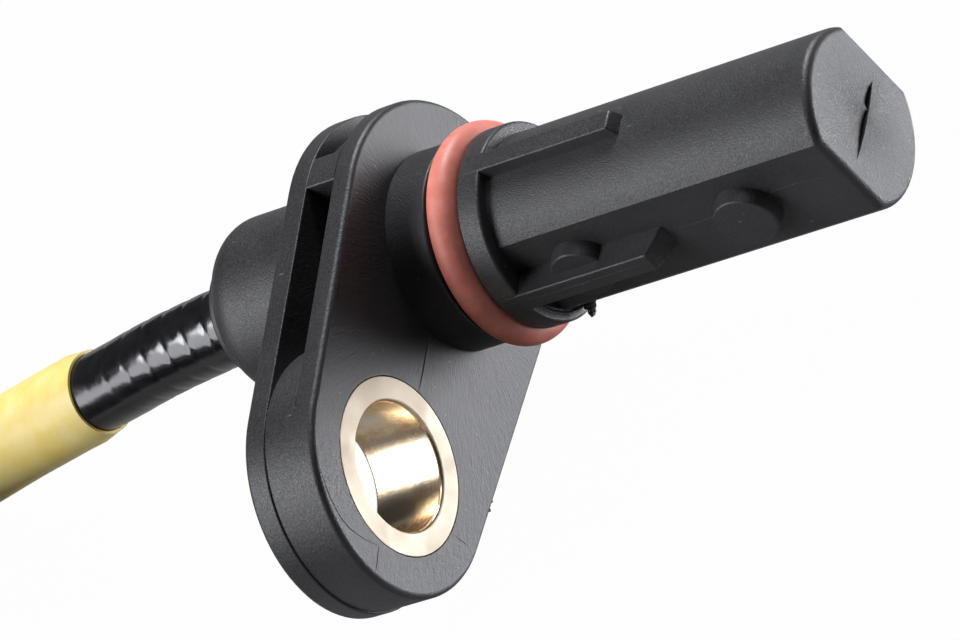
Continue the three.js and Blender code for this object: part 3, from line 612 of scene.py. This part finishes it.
def by_hole(point):
    """Whether it is on the rim of the bushing's hole."""
    return math.hypot(point.y + BOLT_OFFSET, point.z) < BUSHING_RADIUS + 2 * BUSHING_GAP


def front_plate():
    """The plate that rests on the wheel carrier."""
    bm = bmesh.new()
    shift = BAND_DEPTH / 2
    flange_outline(bm, EAR_RADIUS - shift, shift)
    mirrored(pressed(bm, -FRONT_PLATE, 0))
    soften(bm, FLANGE_EDGE, 5, lambda p: p.x > -ON_FACE and not by_hole(p))
    soften(bm, HOLE_EDGE, 2, lambda p: p.x > -ON_FACE and by_hole(p))
    soften(bm, FRONT_PLATE_EDGE, 2, lambda p: (
        p.x < ON_FACE - FRONT_PLATE and POCKET_LOW_Y < p.y and abs(p.z) > POCKET_LOW_Z
    ))
    return bm


def back_plate():
    """The plate on the lead's side, a little wider at the ear."""
    bm = bmesh.new()
    flange_outline(bm)
    mirrored(pressed(bm, -FLANGE_THICKNESS, BACK_PLATE - FLANGE_THICKNESS))
    middle = BACK_PLATE / 2 - FLANGE_THICKNESS
    soften(bm, FLANGE_EDGE, 5, lambda p: p.x < ON_FACE - FLANGE_THICKNESS and not by_hole(p))
    soften(bm, BACK_PLATE_EDGE, 3, lambda p: p.x > middle and not by_hole(p))
    return bm


def flange_middle():
    """What is between the plates: crown, core, web and the ear, with the pockets left open."""
    bm = bmesh.new()
    crown = FLANGE_RADIUS - CROWN_DEPTH
    side_z = FLANGE_RADIUS * math.sin(math.acos(POCKET_TOP_Y / FLANGE_RADIUS))
    core_z = math.sqrt(CORE_RADIUS ** 2 - POCKET_TOP_Y ** 2)
    web_y = -math.sqrt(CORE_RADIUS ** 2 - (POCKET_WEB / 2) ** 2)
    shift = BAND_DEPTH / 2
    ear = EAR_RADIUS - shift
    ear_y = shift - BOLT_OFFSET
    web_angle = math.degrees(math.asin(POCKET_WEB / 2 / ear))
    crown_angle = math.degrees(math.acos(CROWN_Y / crown))
    top_angle = math.degrees(math.acos(CROWN_Y / FLANGE_RADIUS))
    low_angle = math.degrees(math.acos(POCKET_TOP_Y / FLANGE_RADIUS))
    core_from = math.degrees(math.atan2(core_z, POCKET_TOP_Y))
    core_to = math.degrees(math.atan2(POCKET_WEB / 2, web_y))
    outline = Outline(bm, (crown, 0), "yz")
    outline.turn((0, 0), crown_angle)
    outline.line((CROWN_Y, FLANGE_RADIUS * math.sin(math.radians(top_angle))))
    outline.turn((0, 0), low_angle - top_angle)
    outline.line((POCKET_TOP_Y, core_z))
    outline.turn((0, 0), core_to - core_from)
    outline.line((ear_y + ear * math.cos(math.radians(web_angle)), POCKET_WEB / 2))
    outline.turn((ear_y, 0), 180 - web_angle)
    add_bolt_hole(outline)
    outline.close()
    mirrored(pressed(bm, BACK_PLATE - FLANGE_THICKNESS, -FRONT_PLATE))

    def on_corner(p):
        """Whether it is on one of the band's ends, between the plates."""
        on_end = min(abs(p.y - POCKET_TOP_Y), abs(p.y - CROWN_Y)) < 2 * ON_FACE
        low, high = BACK_PLATE - FLANGE_THICKNESS, -FRONT_PLATE
        between = low + PLATE_CLEARANCE < p.x < high - PLATE_CLEARANCE
        return on_end and between and abs(abs(p.z) - side_z) < MIDDLE_REACH

    soften(bm, MIDDLE_EDGE, 3, on_corner)
    return bm


# Forms on the nose's axis

def rear_boss():
    """The round boss behind the flange, with the lip that the lead comes out of."""
    return turned([
        (-FRONT_PLATE, CABLE_HOLE_RADIUS),
        (LIP_END_X, CABLE_HOLE_RADIUS, LIP_MOUTH_EDGE), (LIP_END_X, LIP_RADIUS, LIP_EDGE),
        (BOSS_END_X, LIP_RADIUS), (BOSS_END_X, BOSS_RADIUS, BOSS_EDGE), (-FRONT_PLATE, BOSS_RADIUS),
    ], ring=True)


def seal_seat():
    """Collar, groove and disc."""
    return turned([
        (-FRONT_PLATE / 2, 0), (-FRONT_PLATE / 2, COLLAR_RADIUS),
        (COLLAR_LENGTH, COLLAR_RADIUS, GROOVE_EDGE), (COLLAR_LENGTH, GROOVE_RADIUS, GROOVE_FILLET),
        (DISC_X, GROOVE_RADIUS, GROOVE_FILLET), (DISC_X, DISC_RADIUS, GROOVE_EDGE),
        (DISC_FRONT_X, DISC_RADIUS, DISC_EDGE), (DISC_FRONT_X, 0),
    ])


def nose():
    """A round bar with two flats and a scooped tip."""
    bm = bmesh.new()
    side_z = math.sqrt(NOSE_RADIUS ** 2 - NOSE_FLAT ** 2)
    sweep = 180 - 2 * math.degrees(math.atan2(side_z, NOSE_FLAT))
    outline = Outline(bm, (NOSE_FLAT, -side_z), "yz")
    outline.line((NOSE_FLAT, side_z))
    outline.turn((0, 0), sweep)
    outline.line((-NOSE_FLAT, -side_z))
    outline.turn((0, 0), sweep)
    bmesh.ops.remove_doubles(bm, verts=bm.verts[:], dist=SAME)
    pressed(bm, NOSE_START_X, NOSE_TIP_X)
    soften(bm, NOSE_EDGE, 9, lambda p: p.x > NOSE_TIP_X - ON_FACE)
    return tip_scoop(bm)


def tip_faces(bm, low=-NOSE_RADIUS, high=NOSE_RADIUS):
    """The faces of the tip's flat end whose middle is between two heights."""
    return [
        f for f in bm.faces
        if all(abs(v.co.x - NOSE_TIP_X) < WELD for v in f.verts)
        and low < f.calc_center_median().z < high
    ]


def cut_faces(bm, faces, place, normal):
    """Cuts the tip's faces along a straight line, which is given in Y and Z."""
    geom = set(faces)
    for f in faces:
        geom.update(f.edges)
        geom.update(f.verts)
    bmesh.ops.bisect_plane(
        bm, geom=list(geom), dist=SAME, plane_co=(NOSE_TIP_X, *place), plane_no=(0, *normal),
    )


def tip_scoop(bm):
    """A ragged step on the tip's parting line, with the plastic sloping down to it on one side."""
    depths = dict(SCOOP_ROWS)
    top = SCOOP_Z + SCOOP_WIDTH
    cut_faces(bm, tip_faces(bm), (0, SCOOP_Z), (0, 1))
    cut_faces(bm, tip_faces(bm), (0, top), (0, 1))
    for y in depths:
        cut_faces(bm, tip_faces(bm, SCOOP_Z, top), (y, 0), (1, 0))

    def on_step(v):
        along = min(depths) - ON_FACE < v.co.y < max(depths) + ON_FACE
        return along and abs(v.co.z - SCOOP_Z) < WELD and v.co.x > NOSE_TIP_X - ON_FACE

    edges = [e for e in bm.edges if all(on_step(v) for v in e.verts)]
    bmesh.ops.split_edges(bm, edges=edges)
    slope = {v for f in tip_faces(bm, SCOOP_Z, top) for v in f.verts}
    for v in [v for v in bm.verts if on_step(v)]:
        row = min(depths, key=lambda y: abs(y - v.co.y))
        if v in slope:
            v.co.x -= depths[row]
        v.co.z -= SCOOP_BEND * (1 - ((row - SCOOP_MIDDLE_Y) / SCOOP_REACH) ** 2)
    open_edges = [e for e in bm.edges if len(e.link_faces) == 1]
    bmesh.ops.triangle_fill(bm, use_beauty=True, use_dissolve=False, edges=open_edges)
    return bm


def guide_rib(angle):
    """A rib with sloping sides and a bevelled end, as high as the disc. Angle 0 points to +Y."""
    foot = NOSE_FLAT - ROOT_DEPTH
    half = RIB_WIDTH / 2
    bm = bmesh.new()
    outline = Outline(bm, (foot, -half - RIB_DRAFT), "yz")
    outline.line((DISC_RADIUS, -half), (DISC_RADIUS, half), (foot, half + RIB_DRAFT))
    outline.close()
    pressed(bm, RIB_START_X, RIB_TOP_X + RIB_BEVEL)
    fall = Vector((RIB_BEVEL, foot - DISC_RADIUS, 0))
    cut = bmesh.ops.bisect_plane(
        bm, geom=bm.verts[:] + bm.edges[:] + bm.faces[:], dist=SAME,
        plane_co=(RIB_TOP_X, DISC_RADIUS, 0), plane_no=(-fall.y, fall.x, 0), clear_outer=True,
    )["geom_cut"]
    bmesh.ops.edgeloop_fill(bm, edges=[g for g in cut if isinstance(g, bmesh.types.BMEdge)])
    bmesh.ops.recalc_face_normals(bm, faces=bm.faces[:])
    soften(bm, RIB_EDGE, 3, lambda p: p.x > NOSE_START_X and p.y > foot + ROOT_CLEARANCE)
    turn = Matrix.Rotation(math.radians(angle), 3, "X")
    bmesh.ops.rotate(bm, verts=bm.verts[:], cent=(0, 0, 0), matrix=turn)
    return bm


def support_pad(x, side):
    """A round pad on a flat, as high as the round of the nose."""
    base = NOSE_FLAT - ROOT_DEPTH
    height = NOSE_RADIUS - base
    bm = bmesh.new()
    bmesh.ops.create_cone(
        bm, cap_ends=True, segments=PAD_STEPS, radius1=PAD_RADIUS + PAD_DRAFT, radius2=PAD_RADIUS,
        depth=height,
    )
    soften(bm, RIB_EDGE, 3, lambda p: p.z > height / 2 - ON_FACE)
    bmesh.ops.transform(bm, verts=bm.verts[:], matrix=(
        Matrix.Translation((x, side * (base + height / 2), 0))
        @ Matrix.Rotation(math.radians(-90 * side), 4, "X")
    ))
    return bm


moulded("flange_front", front_plate())
moulded("flange_back", back_plate())
moulded("flange_middle", flange_middle())
moulded("rear_boss", rear_boss())
moulded("seal_seat", seal_seat())
moulded("nose", nose())
for place, angle in RIB_TURNS.items():
    moulded(f"guide_rib_{place}", guide_rib(angle))
for place, x in PAD_PLACES.items():
    for side_name, side in PAD_SIDES.items():
        moulded(f"pad_{side_name}_{place}", support_pad(x, side))


# Metal and rubber

def bolt_bushing():
    """A turned sleeve for the bolt. Its profile starts and ends in the middle of the bore."""
    rear = -FLANGE_THICKNESS
    start = rear / 2
    return turned([
        (start, BORE_RADIUS),
        (0, BORE_RADIUS, BORE_EDGE), (0, BUSHING_RADIUS, BUSHING_EDGE),
        (rear, BUSHING_RADIUS, BUSHING_EDGE), (rear, BORE_RADIUS, BORE_EDGE),
        (start - BORE_SEAM, BORE_RADIUS),
    ], ring=True, y=-BOLT_OFFSET)


def seal_ring():
    """A round ring that lies in the groove."""
    wire = SEAL_WIRE / 2
    middle = ((COLLAR_LENGTH + DISC_X) / 2 + SEAL_SHIFT, SEAL_RADIUS - wire)
    bm = bmesh.new()
    outline = Outline(bm, (middle[0] + wire, middle[1]), "xy")
    outline.turn(middle, 360)
    bmesh.ops.remove_doubles(bm, verts=bm.verts[:], dist=SAME)
    return spun(bm)


piece("bolt_bushing_turned", bolt_bushing(), BUSHING, "bushing", "bolt_bushing")
piece("seal_ring_round", seal_ring(), SEAL, "seal", "seal_ring")


# Lead

UPWARDS = Vector((0, 0, 1))
FORWARDS = Vector((1, 0, 0))
ACROSS = Vector((0, 1, 0))


def eased(share):
    """Goes from 0 to 1 with a slow start and end."""
    share = min(1.0, max(0.0, share))
    return share * share * (3 - 2 * share)


def stepped(place, start, length):
    """Goes from 0 to 1 over a length that begins at start."""
    return eased((place - start) / length)


def coil_point(degrees):
    """Two turns on the surface and two on them, wound inwards and out again."""
    inwards = stepped(degrees, *STEP_INWARDS) - stepped(degrees, *STEP_OUTWARDS)
    radius = COIL_OUTER_TURN + (COIL_INNER_TURN - COIL_OUTER_TURN) * inwards
    height = COIL_BOTTOM + (COIL_TOP - COIL_BOTTOM) * stepped(degrees, *STEP_UP)
    turn = math.radians(degrees)
    return Vector((COIL_X + radius * math.cos(turn), COIL_Y + radius * math.sin(turn), height))


def lead_route():
    """The lead's centreline, close together near the sensor and wider in the coil."""
    knots = [Vector((x, 0, z)) for x, z in CABLE_POINTS]
    knots += [coil_point(COIL_START + COIL_KNOT * i) for i in range(COIL_KNOTS)]
    end = knots[-1]
    run = TAIL_END_X - end.x
    for i in range(1, TAIL_KNOTS + 1):
        along = run * i / TAIL_KNOTS
        height = COIL_TOP - TAIL_FALL * stepped(along, *TAIL_STEP)
        knots.append(Vector((end.x + along, end.y, height)))
    points = []
    for i in range(len(knots) - 1):
        a, b = knots[i], knots[i + 1]
        before = knots[max(i - 1, 0)]
        after = knots[min(i + 2, len(knots) - 1)]
        step = FINE_STEP if FINE_RUN_X[0] < a.x < FINE_RUN_X[1] else WIDE_STEP
        steps = max(1, round((b - a).length / step))
        for k in range(steps):
            t = k / steps
            points.append(0.5 * (
                2 * a + (b - before) * t + (2 * before - 5 * a + 4 * b - after) * t ** 2
                + (3 * a - before - 3 * b + after) * t ** 3
            ))
    points.append(knots[-1])
    return points


def lengths(points):
    """How far along the points each one is."""
    total, made = 0.0, [0.0]
    for a, b in zip(points, points[1:]):
        total += (b - a).length
        made.append(total)
    return made


def rolled(points, radii, sides, up=UPWARDS):
    """A tube: a grid rolled round the points. radii gives each one's radius at an angle."""
    bm = bmesh.new()
    bm.loops.layers.uv.new("UVMap")
    bmesh.ops.create_grid(bm, x_segments=sides, y_segments=len(points) - 1, size=1, calc_uvs=True)
    for v in bm.verts:
        row = round((v.co.y + 1) / 2 * (len(points) - 1))
        angle = math.pi * (v.co.x + 1)
        before, after = points[max(row - 1, 0)], points[min(row + 1, len(points) - 1)]
        along = (after - before).normalized()
        side = along.cross(up).normalized()
        out = side * math.cos(angle) + side.cross(along) * math.sin(angle)
        v.co = points[row] + out * radii(row, angle)
    bmesh.ops.remove_doubles(bm, verts=bm.verts[:], dist=WELD)
    return bm


def closed(bm):
    """Puts a face on each open end."""
    open_edges = [e for e in bm.edges if len(e.link_faces) == 1]
    bmesh.ops.holes_fill(bm, edges=open_edges, sides=0)
    return bm


ROUTE = lead_route()
RUN = lengths(ROUTE)
TWIST_PITCH = 1.96
TWIST_DEPTH = 0.065
TWIST_SHARPNESS = 5
TWIST_X = (-33, -15.9)
TWIST_FADE = (12, 1.5)


def jacket_radius(row, angle):
    """Round, with the wrap under the jacket showing near the sensor."""
    x = ROUTE[row].x
    phase = (RUN[row] / TWIST_PITCH + angle / (2 * math.pi)) % 1
    share = eased((x - TWIST_X[0]) / TWIST_FADE[0]) * eased((TWIST_X[1] - x) / TWIST_FADE[1])
    return CABLE_RADIUS - TWIST_DEPTH * share * abs(2 * phase - 1) ** TWIST_SHARPNESS


lead = piece(
    "lead", closed(rolled(ROUTE, jacket_radius, LEAD_STEPS)), JACKET, "jacket",
    "cable", "cable_coil", "cable_tail", smooth_to=180,
)

# The sleeve's mouth is drawn in, and slants towards one side. The rest waves a little.
SLEEVE_DRAW = 0.21
SLEEVE_DRAW_LENGTH = 1.6
SLEEVE_SLANT = 0.22
SLANT_TOWARDS = (-0.697, -0.717)
SLANT_LENGTH = 8
WAVE_HEIGHT = 0.03
WAVE_TURN = 0.12
MOUTH_ROWS = 6


def sleeve_tube():
    """A thin sleeve whose mouth is drawn in on the jacket."""
    points = [p for p in ROUTE if SLEEVE_END_X < p.x < SLEEVE_MOUTH_X and p.y > -0.1]
    mouth = points[0]

    def outer(row, angle):
        drawn = eased((mouth.x - points[row].x) / SLEEVE_DRAW_LENGTH)
        wave = WAVE_HEIGHT * drawn * math.sin(2 * angle + row * WAVE_TURN)
        return SLEEVE_RADIUS - SLEEVE_DRAW * (1 - drawn) + wave

    bm = rolled(points, outer, SLEEVE_STEPS)
    along = (points[MOUTH_ROWS] - mouth).normalized()
    for v in bm.verts:
        across, up = v.co.y, v.co.z - mouth.z
        down = (SLANT_TOWARDS[0] * across + SLANT_TOWARDS[1] * up) / SLEEVE_RADIUS
        fading = 1 - eased((mouth.x - v.co.x) / SLANT_LENGTH)
        v.co += along * SLEEVE_SLANT * (1 + down) * fading
    bmesh.ops.solidify(bm, geom=bm.faces[:], thickness=-SLEEVE_WALL)
    return bm


sleeve = piece("sleeve", sleeve_tube(), SLEEVE, "sleeve", "cable_sleeve")


# Marks of the mould on the plastic

FRONT_X = -0.01
FLAT_Y = -NOSE_FLAT - 0.005


def on_front(*places):
    """Points on the flange's front face, each from its Y and Z."""
    return [(FRONT_X, y, z) for y, z in places]


def on_flat(*places):
    """Points on the nose's flat on the bolt's side, each from its X and Z."""
    return [(x, FLAT_Y, z) for x, z in places]


def on_rib(*places):
    """Points on the top of the rib on the bolt's side, each from its X and Z."""
    return [(x, -DISC_RADIUS, z) for x, z in places]


def on_ring(x, radius, low, high, steps=14):
    """Points round the nose's axis, between two angles."""
    turns = [math.radians(low + (high - low) * i / steps) for i in range(steps + 1)]
    return [(x, radius * math.cos(t), radius * math.sin(t)) for t in turns]


def raised_line(points, width, up):
    """A thin line that stands half out of the surface and is thinner at both ends."""
    ends = (0, len(points) - 1)
    points = [Vector(p) for p in points]
    return closed(rolled(
        points, lambda row, angle: width / (4 if row in ends else 2), LINE_STEPS, up,
    ))


CRUMB_SEED = 7


def flash_crumbs(places, size):
    """Torn crumbs of flash."""
    bm = bmesh.new()
    rng = random.Random(CRUMB_SEED)
    for place in places:
        made = bmesh.ops.create_icosphere(bm, subdivisions=2, radius=size * rng.uniform(0.7, 1.2))
        for v in made["verts"]:
            v.co *= rng.uniform(0.8, 1.15)
        bmesh.ops.scale(bm, verts=made["verts"], vec=[rng.uniform(0.6, 1.3) for _ in range(3)])
        bmesh.ops.translate(bm, verts=made["verts"], vec=place)
    return bm


# Each line's points, its width and the direction that it stands out in
LINES = {
    "knit_line_by_collar": (on_front(
        (-6.7, 0.08), (-7.28, 0.09), (-8.5, 0.06), (-9.79, -0.05), (-11.25, -0.07),
    ), 0.13, FORWARDS),
    "knit_line_below_bushing": (on_front(
        (-23.3, 0.14), (-24.0, 0.1), (-24.6, -0.02), (-25.2, -0.08),
    ), 0.08, FORWARDS),
    "knit_line_round_bushing": (on_front(
        (-21.9, 6.5), (-22.7, 5.7), (-23.31, 4.8), (-23.75, 3.9), (-23.95, 3.0), (-23.8, 1.5),
        (-23.4, 0.2),
    ), 0.07, FORWARDS),
    "knit_line_lower_side": (on_front(
        (-18.42, -6.0), (-18.38, -6.7), (-18.28, -7.4),
    ), 0.07, FORWARDS),
    "parting_line_on_flat": (on_flat((19.3, 0.3), (21, 0.24), (22.6, 0.4)), 0.05, ACROSS),
    "parting_line_at_tip": (on_flat((26.7, 0.8), (28.4, 0.89), (31.2, 0.7)), 0.05, ACROSS),
    "parting_line_on_rib": (on_rib(
        (DISC_FRONT_X - 0.1, 0.12), (12, 0.1), (RIB_TOP_X, 0.14),
    ), 0.05, ACROSS),
    "flash_ring_on_disc": (on_ring(DISC_FRONT_X, 6.05, 194, 262), 0.2, FORWARDS),
    "flash_ring_by_nose": (on_ring(DISC_FRONT_X + 0.05, 5.78, 196, 250), 0.24, FORWARDS),
}
for name, (points, width, up) in LINES.items():
    moulded(name, raised_line(points, width, up))

# The crumbs beside the nose: radius and angle of each, in a row along X
NOSE_CRUMBS_X = 7.7
NOSE_CRUMBS_STEP = 0.18
NOSE_CRUMBS = (
    (5.8, 240), (6.1, 238), (5.8, 236), (6.2, 235), (6.35, 233), (5.9, 231), (6.2, 230),
    (5.8, 228), (6.0, 226), (5.8, 224),
)
NOSE_CRUMB = 0.3
FLANGE_CRUMBS = ((-0.4, -13.7, -8.93), (-0.4, -14.4, -8.87))
FLANGE_CRUMB = 0.16

crumb_places = []
for i, (radius, degrees) in enumerate(NOSE_CRUMBS):
    turn = math.radians(degrees)
    x = NOSE_CRUMBS_X + NOSE_CRUMBS_STEP * i
    crumb_places.append((x, radius * math.cos(turn), radius * math.sin(turn)))
moulded("nose_crumbs", flash_crumbs(crumb_places, NOSE_CRUMB), CRUMB_SMOOTH_TO)
moulded("flange_crumbs", flash_crumbs(FLANGE_CRUMBS, FLANGE_CRUMB), CRUMB_SMOOTH_TO)


# Finishes of the pieces taken over from the imported model

for name, node in frame["nodes"].items():
    for start, finish in CARRIED.items():
        if name.startswith(start):
            node.data.materials.clear()
            node.data.materials.append(finish)


# Floor and lights

FLOOR_HALF_WIDTH = 3
PAPER = 0.25
SEEN_WHITE = {"Is Camera Ray": 0.985, "Is Glossy Ray": 0.12, "Is Transmission Ray": 0.12}
LAMP_TARGET = (5, -5, 0)
LAMP_COLOUR = (0.97, 0.98, 1.03)
WORLD_STRENGTH = 0.03


def floor_material():
    """White where the camera or a reflection sees it, and plain white paper for the light."""
    material = bpy.data.materials.new("floor")
    material.use_nodes = True
    tree = material.node_tree
    tree.nodes.clear()
    output = tree.nodes.new("ShaderNodeOutputMaterial")
    paper = tree.nodes.new("ShaderNodeBsdfDiffuse")
    paper.inputs["Color"].default_value = (PAPER, PAPER, PAPER, 1)
    glow = tree.nodes.new("ShaderNodeEmission")
    rays = tree.nodes.new("ShaderNodeLightPath")
    share = None
    for ray, strength in SEEN_WHITE.items():
        part = tree.nodes.new("ShaderNodeMath")
        part.operation = "MULTIPLY_ADD"
        part.inputs[1].default_value = strength
        part.inputs[2].default_value = 0
        tree.links.new(rays.outputs[ray], part.inputs[0])
        if share:
            tree.links.new(share, part.inputs[2])
        share = part.outputs[0]
    mixed = tree.nodes.new("ShaderNodeMixShader")
    tree.links.new(share, mixed.inputs[0])
    tree.links.new(paper.outputs[0], mixed.inputs[1])
    tree.links.new(glow.outputs[0], mixed.inputs[2])
    tree.links.new(mixed.outputs[0], output.inputs["Surface"])
    return material


floor_bm = bmesh.new()
bmesh.ops.create_grid(floor_bm, x_segments=1, y_segments=1, size=FLOOR_HALF_WIDTH)
floor_mesh = bpy.data.meshes.new("floor")
floor_bm.to_mesh(floor_mesh)
floor_bm.free()
floor = named("floor", floor_mesh)
floor_mesh.materials.append(floor_material())
floor.visible_shadow = False


def lamp(name, direction, distance, width, height, watts):
    """A soft panel that faces the sensor's flange from a direction. Lengths are in metres."""
    light = bpy.data.lights.new(name, "AREA")
    light.shape = "RECTANGLE"
    light.size = width
    light.size_y = height
    light.energy = watts
    light.color = LAMP_COLOUR
    made = named(name, light)
    aim = Vector(direction).normalized()
    made.location = TO_ROW @ Vector(LAMP_TARGET) + aim * distance
    made.rotation_mode = "QUATERNION"
    made.rotation_quaternion = aim.to_track_quat("Z", "Y")
    light.cycles.use_multiple_importance_sampling = direction[2] > 0


lamp("key", (0.05, 0.77, 0.63), 0.9, 0.2, 0.2, 8)
lamp("left_panel", (-0.60, -0.60, 0.45), 0.6, 0.42, 0.4, 2.15)
lamp("upper_left", (-0.59, -0.39, 0.71), 0.7, 0.28, 0.28, 1.95)
lamp("top_panel", (0.25, 0.25, 0.93), 0.8, 0.3, 0.3, 0.8)
lamp("light_table", (0.53, 0.61, -0.587), 0.7, 0.5, 0.5, 4.95)

world = bpy.data.worlds.new("studio")
bpy.context.scene.world = world
world.use_nodes = True
background = world.node_tree.nodes["Background"]
background.inputs["Color"].default_value = (1, 1, 1, 1)
background.inputs["Strength"].default_value = WORLD_STRENGTH

bpy.context.scene.view_settings.view_transform = "Standard"
